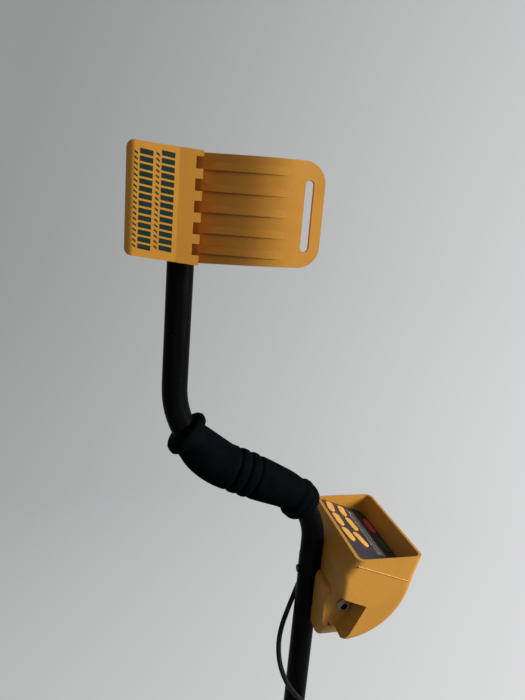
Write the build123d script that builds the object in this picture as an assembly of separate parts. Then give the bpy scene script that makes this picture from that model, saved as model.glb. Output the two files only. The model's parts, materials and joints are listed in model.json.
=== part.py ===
from build123d import *
import os
from math import cos, pi, radians, sin, tan

# A full-size metal detector that stands upright on its search coil. Millimetres, +Z up.
# The origin is the centre of the coil's flat sole, on the floor. The lower shaft runs up the Z axis,
# the S-bend lies in the XZ plane, and the display box and the arm cuff face +X.

# ---- shaft ----
STEM_R = 11.1                 # 7/8 inch tube
STEM_BORE = 9.65
UPPER_X = -142.0              # axis of the tube that carries the arm cuff
STEM_TOP = 1148.0
STEM_END = 560.0
BEND_TOP_Z = 911.1            # where the upper tube's axis meets the slope of the grip
GRIP_SLOPE = 23.0             # degrees below level
BEND_LOW_Z = BEND_TOP_Z + UPPER_X * tan(radians(GRIP_SLOPE))
UPPER_BEND_R = 83.0
LOWER_BEND_R = 65.0
MID_R = 9.53                  # 3/4 inch tube, held in the S-bend tube by a spring button
MID_BORE = 8.2
MID_TOP, MID_END = 704.0, 330.0
LOW_R = 8.0                   # sliding fibreglass shaft
LOW_BORE = 6.0
LOW_TOP, LOW_END = 490.0, 58.0
BUTTON_Z = 686.0
BUTTON_R = 3.0

# ---- foam grip, as distances along the shaft's axis from the start of the upper bend ----
GRIP_START_TURN = 24.0        # degrees of the upper bend above the grip
GRIP_END_TURN = 31.5          # degrees of the lower bend below the grip

# ---- arm cuff ----
CUFF_Z0, CUFF_Z1 = 1075.5, 1152.5
CUFF_MID = (CUFF_Z0 + CUFF_Z1) / 2
CUFF_H = CUFF_Z1 - CUFF_Z0
FOOT_X, CREASE_X, LIP_X = -186.0, -150.0, -134.0
FOOT_HALF, CREASE_HALF, LIP_HALF = 51.5, 55.5, 58.5
CUFF_SPARE = 4.0              # how far the stand and the cup are drawn past their ends before these are cut
SADDLE_ENDS = ((FOOT_X, 1077.3), (LIP_X, 1073.2), (LIP_X, 1151.6), (FOOT_X, 1154.6))
CUP_ENDS = ((-141.0, 1073.7), (-46.0, 1077.2), (-46.0, 1152.5), (-141.0, 1152.5))
SADDLE_WALL = 3.0
SADDLE_FLOOR_X = -140.0
FOOT_END_R = 5.0
NOTCH_PITCH, NOTCH_TALL, NOTCH_DEEP = 14.8, 8.2, 5.0
WING_WALL = 3.5
WING_TIP_X = CUP_ENDS[1][0]
CUP_CORNER_Y, CUP_CORNER_R = 29.0, 12.5
WING_SLOPE, TIP_SLOPE = 20.0, 4.0       # degrees that a wing leans outwards, at its root and at its tip
WING_RISE, WING_BEND_R, TIP_RUN = 33.0, 125.0, 30.0
TIP_CORNER_R = 16.0
SLOT_X, SLOT_LONG, SLOT_WIDE = -57.2, 51.0, 6.5
RIB_THICK = 5.4
# share of the way from the cup's corner to its tip, and how far a rib stands out there
RIB_SHAPE = ((0.0, -0.6), (0.07, 0.9), (0.14, 1.6), (0.28, 1.5), (0.44, 1.1), (0.60, 0.5), (0.72, -0.5))
CUFF_BOLT_ZS = (CUFF_MID - 22.0, CUFF_MID + 22.0)
CUFF_BOLT_R = 2.5

# ---- control box ----
BOX_HALF = 59.5
BOX_WALL = 2.5
RIM_Z = 823.0
RIM_IN = (22.0, RIM_Z)
RIM_OUT = (87.0, RIM_Z)
KNEE = (9.0, 807.0)
HEEL = (9.0, 744.0)
BOTTOM = (20.0, 739.1)
FRONT_MID = (65.5, 762.5)
FRONT = (80.0, 797.3)
PANEL_TILT = 20.2             # the panel and the hood's seam fall away from the shaft
SEAM_ORIGIN = (12.0, 822.0)
PANEL_ORIGIN = (26.0, 821.5)
BOX_ROUND = 7.0
JACK_X, JACK_Z = 22.0, 764.0
RECESS_BACK_Y = -40.0
JACK_R = 3.2                  # 6.35 mm headphone plug
SOCKET_Y, SOCKET_Z = 21.0, 798.0
PLUG_X = 3.0                  # where the coil plug turns down, tucked behind the shaft
BRACKET_BOLT_Z = 777.5        # the bolt through the shaft into the box
FOOT_SCREW_Z = 731.0          # the screw through the bracket's foot into the tube's wall
CELLS = ((27.0, 761.5), (41.5, 766.0), (27.0, 777.0), (41.5, 781.5))
CELL_R, CELL_LONG = 7.25, 50.5
CELL_Y0 = 4.0
WELL_R = 8.3                  # outside of the holder round each cell
DOOR_R = 8.0                  # corners of the battery door, round the cells' axes
DOOR_GAP = 0.35
SPEAKER = (57.5, 789.0)
SPEAKER_R = 8.6

# ---- keys: name, distance down the panel, distance across it, length, width, turn ----
KEYS = {
    "yellow_key_1": (7.5, 43.0, 21.0, 9.0, -12.0),
    "yellow_key_2": (6.5, 17.0, 23.0, 9.0, 0.0),
    "yellow_key_3": (6.8, -10.0, 22.0, 9.0, 6.0),
    "yellow_key_4": (21.5, 41.0, 21.0, 8.5, -8.0),
    "yellow_key_5": (22.0, 15.0, 23.0, 8.5, 4.0),
    "yellow_key_6": (19.5, -14.0, 23.0, 8.5, 12.0),
    "red_key": (49.3, 24.0, 26.0, 7.0, 0.0),
    "green_key": (49.3, -11.0, 24.0, 7.0, 0.0),
}
KEY_RISE, KEY_GAP, KEY_FLANGE = 1.0, 0.3, 1.0
WINDOW_P, WINDOW_Y, WINDOW_W, WINDOW_L = 35.0, 8.0, 10.0, 84.0

# ---- search coil ----
COIL_R = 108.0
SOLE_THICK = 3.0
COIL_TOP = 18.0
WEB_TOP = 9.0
HUB_R = 30.0
HUB_TOP = 14.0
PIVOT_Z = 36.0
PIVOT_R = 4.0
TONGUE_HALF = 6.0
EAR_IN, EAR_OUT = 8.1, 15.0
GLAND_X = -46.0
GLAND_TOP = 26.0

# ---- coil cable ----
CABLE_R = 2.5
CABLE_SHARE = 0.45            # how much of the shorter run an arc may use at each end
STRAP_Z = 118.0               # the strap low on the shaft, where the two lengths of cable meet
STRAP_TALL = 12.0
UPPER_ROUTE = [
    (PLUG_X, 21, 776), (PLUG_X, 21, 760), (-12, 9, 734), (-27, -6, 709), (-27, -14, 682), (-16, -20, 656),
    (5, -20, 631), (19, -8, 602), (19, 12, 566), (2, 22, 528), (-17, 13, 487), (-19, -9, 444),
    (-3, -20, 402), (16, -13, 362), (20, 9, 322), (5, 19, 282), (-12, 13, 243), (-17, 1, 208),
    (-13, -3, 172), (-10.6, 0, 142), (-10.6, 0, STRAP_Z),
]
LOWER_ROUTE = [
    (-10.6, 0, STRAP_Z), (-10.6, 0, 98), (-19, 6, 77), (-35, 7, 62), (GLAND_X, 0, 46),
    (GLAND_X, 0, GLAND_TOP),
]

SIDE = Plane.XZ               # local x is +X, local y is +Z, and its normal points to -Y


def across(face, y0, y1):
    """A face drawn in XZ, made solid from y0 to y1."""
    return Pos(0, y1, 0) * extrude(SIDE * face, amount=y1 - y0)


def rod(radius, start, end):
    """A round bar between two points."""
    axis = Vector(*end) - Vector(*start)
    return extrude(Plane(origin=start, z_dir=axis) * Circle(radius), amount=axis.length)


def ring(outer, inner, z0, z1, x=0.0, y=0.0):
    """A round ring standing on the Z direction."""
    return extrude(Plane(origin=(x, y, z0)) * (Circle(outer) - Circle(inner)), amount=z1 - z0)


def block(x0, x1, y0, y1, z0, z1):
    """A box from its limits."""
    return Pos((x0 + x1) / 2, (y0 + y1) / 2, (z0 + z1) / 2) * Box(x1 - x0, y1 - y0, z1 - z0)


def hex_nut(radius_in, bore, start, end):
    """A hexagonal nut between two points on its axis."""
    axis = Vector(*end) - Vector(*start)
    face = RegularPolygon(radius_in, 6, major_radius=False) - Circle(bore)
    return extrude(Plane(origin=start, z_dir=axis) * face, amount=axis.length)


# ================= shaft =================
def stem_path():
    """The S-bend tube's axis, from its top to its lower end."""
    return FilletPolyline(
        (UPPER_X, 0, STEM_TOP), (UPPER_X, 0, BEND_TOP_Z), (0, 0, BEND_LOW_Z), (0, 0, STEM_END),
        radius=[UPPER_BEND_R, LOWER_BEND_R],
    )


def sleeve_on(path, outer, inner):
    """A tube of two radii swept along a path."""
    section = Plane(origin=path @ 0, z_dir=path % 0) * (Circle(outer) - Circle(inner))
    return sweep(section, path=path)


def s_stem():
    tube = sleeve_on(stem_path(), STEM_R, STEM_BORE)
    for z in CUFF_BOLT_ZS:
        tube -= rod(CUFF_BOLT_R + 0.1, (UPPER_X - 20, 0, z), (UPPER_X + 20, 0, z))
    tube -= rod(CUFF_BOLT_R + 0.1, (-20, 0, BRACKET_BOLT_Z), (20, 0, BRACKET_BOLT_Z))
    tube -= rod(CUFF_BOLT_R + 0.1, (0, 0, FOOT_SCREW_Z), (20, 0, FOOT_SCREW_Z))
    return tube - rod(BUTTON_R + 0.3, (0, 0, BUTTON_Z), (0, 20, BUTTON_Z))


def stem_end_cap():
    plug = ring(STEM_BORE - 0.05, 7.0, STEM_TOP - 7, STEM_TOP, x=UPPER_X)
    lid = ring(STEM_R, 0.01, STEM_TOP, STEM_TOP + 2, x=UPPER_X)
    return plug + lid


def grip_path(start, end):
    """A piece of the shaft's axis under the grip, between two shares of the grip's length."""
    path = stem_path()
    bend_start = STEM_TOP - BEND_TOP_Z - UPPER_BEND_R * tan(radians((90 - GRIP_SLOPE) / 2))
    first = bend_start + UPPER_BEND_R * radians(GRIP_START_TURN)
    straight_end = BEND_LOW_Z - LOWER_BEND_R * tan(radians((90 - GRIP_SLOPE) / 2)) - STEM_END
    last = path.length - straight_end - LOWER_BEND_R * radians(GRIP_END_TURN)
    span = last - first
    return path.trim((first + start * span) / path.length, (first + end * span) / path.length)


def foam_grip():
    """A soft sleeve: a flared collar at each end, swollen in the middle."""
    grip = sleeve_on(grip_path(0.0, 1.0), 17.0, STEM_R + 0.05)
    for start, end, radius in ((0.0, 0.08, 20.5), (0.2, 0.8, 19.5), (0.88, 1.0, 19.5)):
        grip += sleeve_on(grip_path(start, end), radius, 16.0)
    return grip


def middle_stem():
    tube = ring(MID_R, MID_BORE, MID_END, MID_TOP)
    return tube - rod(BUTTON_R + 0.3, (0, 0, BUTTON_Z), (0, 20, BUTTON_Z))


def stem_bushing():
    """The plastic ring that closes the S-bend tube's lower end round the middle tube."""
    skirt = ring(13.0, STEM_R + 0.05, STEM_END, STEM_END + 16)
    lip = ring(13.0, MID_R + 0.05, STEM_END - 5, STEM_END)
    return chamfer((skirt + lip).edges().group_by(Axis.Z)[0].sort_by(SortBy.LENGTH)[-1], 1.2)


def lock_button():
    """The sprung button behind the shaft: a domed pin with a flange inside the tube."""
    pin = rod(BUTTON_R, (0, 5.8, BUTTON_Z), (0, 14.0, BUTTON_Z))
    pin = fillet(pin.edges().group_by(Axis.Y)[-1], 1.2)
    return pin + rod(3.9, (0, 5.8, BUTTON_Z), (0, 6.8, BUTTON_Z))


def lock_spring():
    """A folded leaf in the tube that pushes the button out."""
    leaf = Polyline((5.3, 8), (5.3, -6), (-3.2, -46), (-7.0, -46), (-7.0, 8))
    face = trace(leaf, 0.8)
    strip = extrude(Plane.YZ * face, amount=3, both=True)
    return Pos(0, 0, BUTTON_Z) * strip


def twist_collar():
    """The cam-lock collar that grips the sliding shaft, with grooves for the fingers."""
    skirt = ring(14.5, MID_R + 0.25, 322.0, 356.0)
    lip = ring(14.5, LOW_R + 0.6, 316.0, 322.0)
    collar = skirt + lip
    collar = fillet(collar.edges().filter_by(GeomType.CIRCLE).group_by(SortBy.RADIUS)[-1], 1.5)
    for k in range(12):
        groove = Rot(0, 0, 30 * k) * Pos(15.6, 0, 336) * Cylinder(2.0, 24)
        collar -= groove
    return collar


def lock_collet():
    """The split ring inside the collar, seated on the middle tube's end."""
    return ring(9.4, LOW_R + 0.08, 322.6, MID_END) - block(5, 12, -0.8, 0.8, 320, 332)


def lower_stem():
    return ring(LOW_R, LOW_BORE, LOW_END, LOW_TOP)


def stem_tongue():
    """The moulded end of the sliding shaft: a plug in the tube and a flat tongue on the coil's pivot."""
    plug = rod(LOW_BORE - 0.05, (0, 0, LOW_END), (0, 0, LOW_END + 30))
    neck = rod(LOW_R, (0, 0, LOW_END - 6), (0, 0, LOW_END))
    tongue = block(-LOW_R, LOW_R, -TONGUE_HALF, TONGUE_HALF, PIVOT_Z, LOW_END - 5)
    tip = rod(LOW_R, (0, -TONGUE_HALF, PIVOT_Z), (0, TONGUE_HALF, PIVOT_Z))
    bore = rod(PIVOT_R + 0.08, (0, -20, PIVOT_Z), (0, 20, PIVOT_Z))
    return plug + neck + tongue + tip - bore


def rubber_washers():
    bore = PIVOT_R + 0.15
    pair = []
    for side in (-1, 1):
        inner, outer = side * TONGUE_HALF, side * (TONGUE_HALF + 1.8)
        pair.append(rod(8.5, (0, inner, PIVOT_Z), (0, outer, PIVOT_Z))
                    - rod(bore, (0, inner, PIVOT_Z), (0, outer, PIVOT_Z)))
    return pair


# ================= arm cuff =================
def saddle_outline(inset, x_end):
    """The stand's cross-section in XY, wider at the lip than at the foot, drawn inset from its outside."""
    points = [
        (FOOT_X + inset, FOOT_HALF - inset), (CREASE_X, CREASE_HALF - inset), (x_end, LIP_HALF - inset),
        (x_end, -LIP_HALF + inset), (CREASE_X, -CREASE_HALF + inset), (FOOT_X + inset, -FOOT_HALF + inset),
    ]
    face = make_face(Polyline(*points, close=True))
    return fillet(face.vertices().group_by(Axis.X)[0], 7.0 - inset)


def cuff_saddle():
    """The stand under the cuff: a tray on a hollow foot, bored for the shaft, with a notched lip."""
    low, tall = CUFF_Z0 - CUFF_SPARE, CUFF_H + 2 * CUFF_SPARE
    body = Pos(0, 0, low) * extrude(saddle_outline(0, LIP_X), amount=tall)
    tray = saddle_outline(SADDLE_WALL, LIP_X + 1) & Pos(SADDLE_FLOOR_X + 50, 0) * Rectangle(100, 200)
    body -= Pos(0, 0, low - 1) * extrude(tray, amount=tall + 2)
    behind_floor = Pos(SADDLE_FLOOR_X - 54, 0) * Rectangle(100, 200)
    hollow = saddle_outline(SADDLE_WALL, LIP_X + 1) & behind_floor
    web_half = 4.5
    deep = tall / 2 - web_half
    for z in (low, CUFF_MID + web_half):
        body -= Pos(0, 0, z) * extrude(hollow, amount=deep)
    body += ring(14.5, STEM_R + 0.1, low, low + tall, x=UPPER_X) - block(
        SADDLE_FLOOR_X, 0, -60, 60, low - 1, low + tall + 1)
    for z in CUFF_BOLT_ZS:
        body += block(-157, UPPER_X, -7, 7, z - 7, z + 7)
    body -= rod(STEM_R + 0.1, (UPPER_X, 0, low - 1), (UPPER_X, 0, low + tall + 1))
    for z in CUFF_BOLT_ZS:
        body -= rod(CUFF_BOLT_R + 0.1, (-170, 0, z), (-100, 0, z))
    for k in range(-2, 3):
        z = CUFF_MID + k * NOTCH_PITCH
        body -= block(LIP_X - NOTCH_DEEP, LIP_X + 1, -70, 70, z - NOTCH_TALL / 2, z + NOTCH_TALL / 2)
    ends = make_face(Polyline(*SADDLE_ENDS, close=True))
    ends = fillet(ends.vertices().group_by(Axis.X)[0], FOOT_END_R)
    return body & across(ends, -70, 70)


def wing_line():
    """The middle of a wing's wall in XY: its corner, the rising part, a gentle bend, and the tip."""
    start = Vector(SADDLE_FLOOR_X + 0.1 + WING_WALL / 2, CUP_CORNER_Y)
    corner = JernArc(start, (0, 1), CUP_CORNER_R, WING_SLOPE - 90)
    rise = Line(corner @ 1, corner @ 1 + (corner % 1) * WING_RISE)
    bend = JernArc(rise @ 1, rise % 1, WING_BEND_R, TIP_SLOPE - WING_SLOPE)
    tip = Line(bend @ 1, bend @ 1 + (bend % 1) * TIP_RUN)
    return corner + rise + bend + tip


def rib(z):
    """A low ridge outside each wing, from a notch of the stand to where it fades out."""
    line = wing_line()
    outside, middle = [], []
    for share, rise in RIB_SHAPE:
        place, way = line @ share, line % share
        middle.append((place.X, place.Y))
        step = WING_WALL / 2 + rise
        outside.append((place.X - way.Y * step, place.Y + way.X * step))
    face = make_face(Spline(*outside) + Polyline(outside[-1], *reversed(middle), outside[0]))
    ridge = Pos(0, 0, z - RIB_THICK / 2) * extrude(face, amount=RIB_THICK)
    return ridge + mirror(ridge, about=Plane.XZ)


def cuff_cradle():
    """The cup for the forearm: a U of sheet with rounded, slotted wings, ribs, and a hump over the shaft."""
    low, tall = CUFF_Z0 - CUFF_SPARE, CUFF_H + 2 * CUFF_SPARE
    line = wing_line()
    half = trace(Line(((line @ 0).X, 0), line @ 0) + line, WING_WALL)
    cup = Pos(0, 0, low) * extrude(half, amount=tall)
    cup = cup + mirror(cup, about=Plane.XZ)
    hump = ring(14.6, STEM_R + 0.1, low, low + tall, x=UPPER_X)
    hump -= block(-200, SADDLE_FLOOR_X + 0.1, -60, 60, low - 1, low + tall + 1)
    cup += hump
    for k in range(-2, 3):
        cup += rib(CUFF_MID + k * NOTCH_PITCH)
    ends = make_face(Polyline(*CUP_ENDS, close=True))
    ends = fillet(ends.vertices().group_by(Axis.X)[-1], TIP_CORNER_R)
    cup = cup & across(ends, -80, 80)
    slot = Pos(SLOT_X, CUFF_MID) * Rot(0, 0, 90) * SlotOverall(SLOT_LONG, SLOT_WIDE)
    cup -= across(slot, -80, 80)
    cup -= rod(STEM_R + 0.1, (UPPER_X, 0, low - 1), (UPPER_X, 0, low + tall + 1))
    for z in CUFF_BOLT_ZS:
        cup -= rod(CUFF_BOLT_R + 0.1, (-170, 0, z), (-100, 0, z))
    return cup


def cuff_bolts():
    bolts = []
    for z in CUFF_BOLT_ZS:
        head = rod(4.6, (-127.3, 0, z), (-124.4, 0, z))
        bolts.append(head + rod(CUFF_BOLT_R, (-163, 0, z), (-127.3, 0, z)))
    return bolts


def cuff_nuts():
    return [hex_nut(4.0, CUFF_BOLT_R + 0.05, (-161.1, 0, z), (-157.1, 0, z)) for z in CUFF_BOLT_ZS]


# ================= control box =================
PANEL_PLANE = Plane(
    origin=(PANEL_ORIGIN[0], 0, PANEL_ORIGIN[1]),
    x_dir=(cos(radians(PANEL_TILT)), 0, -sin(radians(PANEL_TILT))),
    z_dir=(sin(radians(PANEL_TILT)), 0, cos(radians(PANEL_TILT))),
)
SEAM_PLANE = Plane(
    origin=(SEAM_ORIGIN[0], 0, SEAM_ORIGIN[1]), x_dir=PANEL_PLANE.x_dir, z_dir=PANEL_PLANE.z_dir,
)


def case_face(rise=0.0):
    """The box's side view in XZ. rise carries its open top higher, along the slant of its walls."""
    in_step = (RIM_IN[0] - KNEE[0]) / (RIM_IN[1] - KNEE[1])
    out_step = (RIM_OUT[0] - FRONT[0]) / (RIM_OUT[1] - FRONT[1])
    rim_in = (RIM_IN[0] + rise * in_step, RIM_Z + rise)
    rim_out = (RIM_OUT[0] + rise * out_step, RIM_Z + rise)
    face = make_face(
        Polyline(FRONT, rim_out, rim_in, KNEE, HEEL, BOTTOM) + ThreePointArc(BOTTOM, FRONT_MID, FRONT)
    )
    for corner, radius in ((HEEL, 8.0), (BOTTOM, 12.0), (KNEE, 12.0)):
        face = fillet(face.vertices().sort_by_distance((*corner, 0))[0], radius)
    return face


def rounded_case(face, half, radius):
    """The side view made solid, with its long edges rounded."""
    solid = across(face, -half, half)
    ends = solid.edges().filter_by(lambda e: abs(abs(e.center().Y) - half) < 0.01)
    top = max(e.center().Z for e in ends)
    return fillet([e for e in ends if e.center().Z < top - 1], radius)


def case_outer():
    return rounded_case(case_face(), BOX_HALF, BOX_ROUND)


def case_inner(inset):
    face = offset(case_face(rise=20.0), amount=-inset, kind=Kind.INTERSECTION)
    return rounded_case(face, BOX_HALF - inset, BOX_ROUND - inset + 0.6)


def recess_face(grow=0.0):
    """The side recess that holds the headphone jack, open at the back edge and the underside."""
    points = ((-6, 793.0), (36, 775.5), (23, 748.0), (10, 734.0), (-6, 726.0))
    face = make_face(Polyline(*points, close=True))
    return offset(face, amount=grow, kind=Kind.INTERSECTION) if grow else face


def speaker_slots():
    upright = Rot(0, 0, 90) * SlotOverall(12, 2.2)
    return [
        across(Pos(SPEAKER[0] + step, SPEAKER[1]) * upright, BOX_HALF - 7, BOX_HALF + 3)
        for step in (-3.5, 0, 3.5)
    ]


def round_cells(radius):
    """The outline in XZ that wraps the four cells, some way from their axes."""
    return make_hull([e for cell in CELLS for e in (Pos(*cell) * Circle(radius)).edges()])


def shell():
    """The whole box as one skin, before the seam divides it."""
    outer = case_outer()
    skin = outer - case_inner(BOX_WALL)
    groove = rod(STEM_R + 2.9, (0, 0, 700), (0, 0, 806)) & outer
    liner = across(recess_face(2.2), -BOX_HALF, RECESS_BACK_Y + 2.2) & outer
    pocket = rod(12.0, (0, SOCKET_Y, SOCKET_Z), (24.0, SOCKET_Y, SOCKET_Z)) & outer
    skin = skin + groove + liner + pocket
    skin -= across(recess_face(), -BOX_HALF - 1, RECESS_BACK_Y)
    skin -= rod(9.5, (-5, SOCKET_Y, SOCKET_Z), (21.5, SOCKET_Y, SOCKET_Z))
    skin -= rod(5.0, (0, SOCKET_Y, SOCKET_Z), (30, SOCKET_Y, SOCKET_Z))
    skin -= rod(STEM_R + 0.25, (0, 0, 690), (0, 0, 840))
    skin -= rod(CUFF_BOLT_R + 0.1, (0, 0, BRACKET_BOLT_Z), (16, 0, BRACKET_BOLT_Z))
    skin -= rod(5.1, (JACK_X, -50, JACK_Z), (JACK_X, -30, JACK_Z))
    skin -= across(round_cells(DOOR_R), BOX_HALF - 7, BOX_HALF + 3)
    for slot in speaker_slots():
        skin -= slot
    return skin


def box_body(skin):
    return split(skin, bisect_by=SEAM_PLANE, keep=Keep.BOTTOM)


def box_hood(skin):
    return split(skin, bisect_by=SEAM_PLANE, keep=Keep.TOP)


def key_face(key, grow=0.0):
    down, over, long, wide, turn = KEYS[key]
    return Pos(down, over) * Rot(0, 0, 90 + turn) * SlotOverall(long + 2 * grow, wide + 2 * grow)


def on_panel(face, low, high):
    """A face drawn on the panel, made solid between two heights above the panel's top."""
    return PANEL_PLANE * Pos(0, 0, low) * extrude(face, amount=high - low)


STANDOFFS = [(14.0, 30.0), (14.0, 4.0), (30.0, -40.0), (44.0, 46.0)]
BOARD_TOP, BOARD_THICK = -6.4, 1.6


def control_panel():
    slab = on_panel(Pos(20, 0) * Rectangle(120, 120), -2.0, 0.0)
    panel = slab & case_inner(BOX_WALL)
    for key in KEYS:
        panel -= on_panel(key_face(key, KEY_GAP), -3, 1)
    panel -= on_panel(Pos(WINDOW_P, WINDOW_Y) * Rectangle(WINDOW_W + 0.2, WINDOW_L + 0.2), -3, 1)
    for down, over in STANDOFFS:
        post = on_panel(Pos(down, over) * Circle(2.6), BOARD_TOP, -1.9)
        panel += post - on_panel(Pos(down, over) * Circle(1.2), BOARD_TOP, -2.5)
    return panel


def key_solid(key):
    top = on_panel(key_face(key), -2.4, KEY_RISE)
    top = fillet(top.edges().filter_by(lambda e: e.center().dot(PANEL_PLANE.z_dir)
                 > PANEL_PLANE.origin.dot(PANEL_PLANE.z_dir) + KEY_RISE - 0.01), 0.7)
    return top + on_panel(key_face(key, KEY_FLANGE), -3.2, -2.35)


def lcd_window():
    return on_panel(Pos(WINDOW_P, WINDOW_Y) * Rectangle(WINDOW_W, WINDOW_L), -1.9, -0.4)


def lcd_module():
    return on_panel(Pos(WINDOW_P, WINDOW_Y) * Rectangle(WINDOW_W + 2, WINDOW_L + 4), -5.6, -2.1)


def main_board():
    """The circuit board with its three chips, hung from the panel's posts."""
    under = BOARD_TOP - BOARD_THICK
    outline = Pos(24.5, 0) * Rectangle(43, 88) + Pos(40, 44) * Rectangle(12, 12)
    board = on_panel(outline, under, BOARD_TOP)
    for down, over in STANDOFFS:
        board -= on_panel(Pos(down, over) * Circle(1.5), BOARD_TOP - 3, BOARD_TOP + 1)
    for down, over, long, wide in ((14, -20, 16, 16), (28, -20, 10, 20), (32, 22, 12, 12)):
        board += on_panel(Pos(down, over) * Rectangle(long, wide), under - 2, under)
    return board


def board_screws():
    under = BOARD_TOP - BOARD_THICK
    screws = []
    for down, over in STANDOFFS:
        shank = on_panel(Pos(down, over) * Circle(1.2), under, -2.6)
        screws.append(shank + on_panel(Pos(down, over) * Circle(2.4), under - 1.6, under))
    return screws


def speaker():
    x, z = SPEAKER
    front, back, end = BOX_HALF - 3.2, BOX_HALF - 8.0, BOX_HALF - 12.0
    basket = rod(SPEAKER_R, (x, back, z), (x, front, z))
    magnet = rod(SPEAKER_R - 3.4, (x, end, z), (x, back, z))
    return basket + magnet - rod(SPEAKER_R - 1.4, (x, front - 1.8, z), (x, front, z))


def cell_axis(cell, y0, y1, radius):
    return rod(radius, (cell[0], y0, cell[1]), (cell[0], y1, cell[1]))


def battery_holder():
    """A block with four wells, open towards the door."""
    holder = across(round_cells(WELL_R), CELL_Y0 - 2.5, CELL_Y0 + CELL_LONG + 1.0)
    for cell in CELLS:
        holder -= cell_axis(cell, CELL_Y0 - 0.1, BOX_HALF, CELL_R + 0.1)
    return holder


def aa_cells():
    cells = []
    for cell in CELLS:
        can = cell_axis(cell, CELL_Y0, CELL_Y0 + CELL_LONG - 1.5, CELL_R)
        cells.append(can + cell_axis(cell, CELL_Y0 + CELL_LONG - 1.5, CELL_Y0 + CELL_LONG, 2.7))
    return cells


def battery_door():
    """The door behind the cells, with a ridge to pull it open. It hinges at its lowest point."""
    door = across(round_cells(DOOR_R - DOOR_GAP), BOX_HALF - BOX_WALL, BOX_HALF)
    middle_x = (CELLS[0][0] + CELLS[1][0]) / 2
    top = CELLS[3][1] + 1.5
    pull = block(middle_x - 5, middle_x + 5, BOX_HALF, BOX_HALF + 1.2, top - 2.0, top)
    return door + pull


def headphone_jack():
    barrel = rod(5.0, (JACK_X, -43.5, JACK_Z), (JACK_X, -37.8, JACK_Z))
    case = rod(6.5, (JACK_X, -37.8, JACK_Z), (JACK_X, -16.0, JACK_Z))
    return barrel + case - rod(JACK_R, (JACK_X, -43.5, JACK_Z), (JACK_X, -18.0, JACK_Z))


def jack_nut():
    nut = hex_nut(6.3, 5.05, (JACK_X, -40.05, JACK_Z), (JACK_X, -42.6, JACK_Z))
    return nut


def coil_socket():
    barrel = rod(6.0, (10.5, SOCKET_Y, SOCKET_Z), (19.0, SOCKET_Y, SOCKET_Z))
    flange = rod(8.5, (19.0, SOCKET_Y, SOCKET_Z), (21.4, SOCKET_Y, SOCKET_Z))
    tail = rod(4.8, (21.4, SOCKET_Y, SOCKET_Z), (27.0, SOCKET_Y, SOCKET_Z))
    return barrel + flange + tail


def plug_ring():
    ring_solid = rod(7.7, (8.3, SOCKET_Y, SOCKET_Z), (18.0, SOCKET_Y, SOCKET_Z))
    ring_solid -= rod(6.06, (8.0, SOCKET_Y, SOCKET_Z), (18.5, SOCKET_Y, SOCKET_Z))
    for k in range(18):
        turn = radians(20 * k)
        y, z = SOCKET_Y + 7.9 * cos(turn), SOCKET_Z + 7.9 * sin(turn)
        ring_solid -= rod(0.6, (9.5, y, z), (16.5, y, z))
    return ring_solid


def cable_plug():
    """The cable's right-angled plug, turned down along the shaft."""
    nose = rod(5.8, (PLUG_X, SOCKET_Y, SOCKET_Z), (10.4, SOCKET_Y, SOCKET_Z))
    elbow = Pos(PLUG_X, SOCKET_Y, SOCKET_Z) * Sphere(5.8)
    return nose + elbow + rod(4.6, (PLUG_X, SOCKET_Y, 788.0), (PLUG_X, SOCKET_Y, SOCKET_Z))


def plug_boot():
    return Pos(PLUG_X, SOCKET_Y, 782) * Cone(3.3, 4.4, 12)


def box_bracket():
    """The yellow foot between the box and the shaft, grooved for the tube."""
    outline = ((-46, 770), (-34, 781), (34, 781), (46, 770), (46, 750), (26, 720.5), (-26, 720.5), (-46, 750))
    plate = fillet(make_face(Polyline(*outline, close=True)).vertices(), 6.0)
    foot = extrude(Plane.YZ * plate, amount=26.0) & block(3.0, 26.0, -60, 60, 700, 800)
    foot = fillet(foot.edges().group_by(Axis.X)[0], 6.0)
    foot -= case_outer()
    foot -= block(9.0, 40, -60, 60, HEEL[1] - 2, 800)
    foot -= across(recess_face(), -BOX_HALF - 1, RECESS_BACK_Y)
    foot -= rod(STEM_R + 0.1, (0, 0, 700), (0, 0, 820))
    foot -= rod(6.8, (PLUG_X - 1.5, SOCKET_Y, 700), (PLUG_X - 1.5, SOCKET_Y, 820))
    foot -= rod(CUFF_BOLT_R + 0.1, (0, 0, FOOT_SCREW_Z), (30, 0, FOOT_SCREW_Z))
    return foot.solids().sort_by(SortBy.VOLUME)[-1]


def bracket_bolts():
    """The bolt through the shaft into the box, and the screw from the foot into the tube's wall."""
    z = BRACKET_BOLT_Z
    bolt = rod(3.7, (-12.9, 0, z), (-11.15, 0, z)) + rod(CUFF_BOLT_R, (-11.15, 0, z), (18.2, 0, z))
    z = FOOT_SCREW_Z
    screw = rod(4.2, (26.1, 0, z), (28.6, 0, z)) + rod(CUFF_BOLT_R, (2.0, 0, z), (26.1, 0, z))
    return [bolt, screw]


def bracket_nuts():
    z = BRACKET_BOLT_Z
    return hex_nut(4.0, CUFF_BOLT_R + 0.05, (14.1, 0, z), (18.1, 0, z))


# ================= cable =================
def cable(route, name):
    """A round cable along straight runs joined by arcs, each as large as its two runs allow."""
    points = [Vector(*p) for p in route]
    radii = []
    for before, here, after in zip(points, points[1:], points[2:]):
        turn = (here - before).get_angle(after - here)
        shorter = min((here - before).length, (after - here).length)
        radii.append(CABLE_SHARE * shorter / tan(radians(turn) / 2))
    path = FilletPolyline(*route, radius=radii)
    tube = sweep(Plane(origin=path @ 0, z_dir=path % 0) * Circle(CABLE_R), path=path)
    print(name, "length", round(path.length, 1), "volume over section times length",
          round(tube.volume / (pi * CABLE_R ** 2 * path.length), 4))
    print("   radii", [round(r) for r in radii])
    return tube


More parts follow.
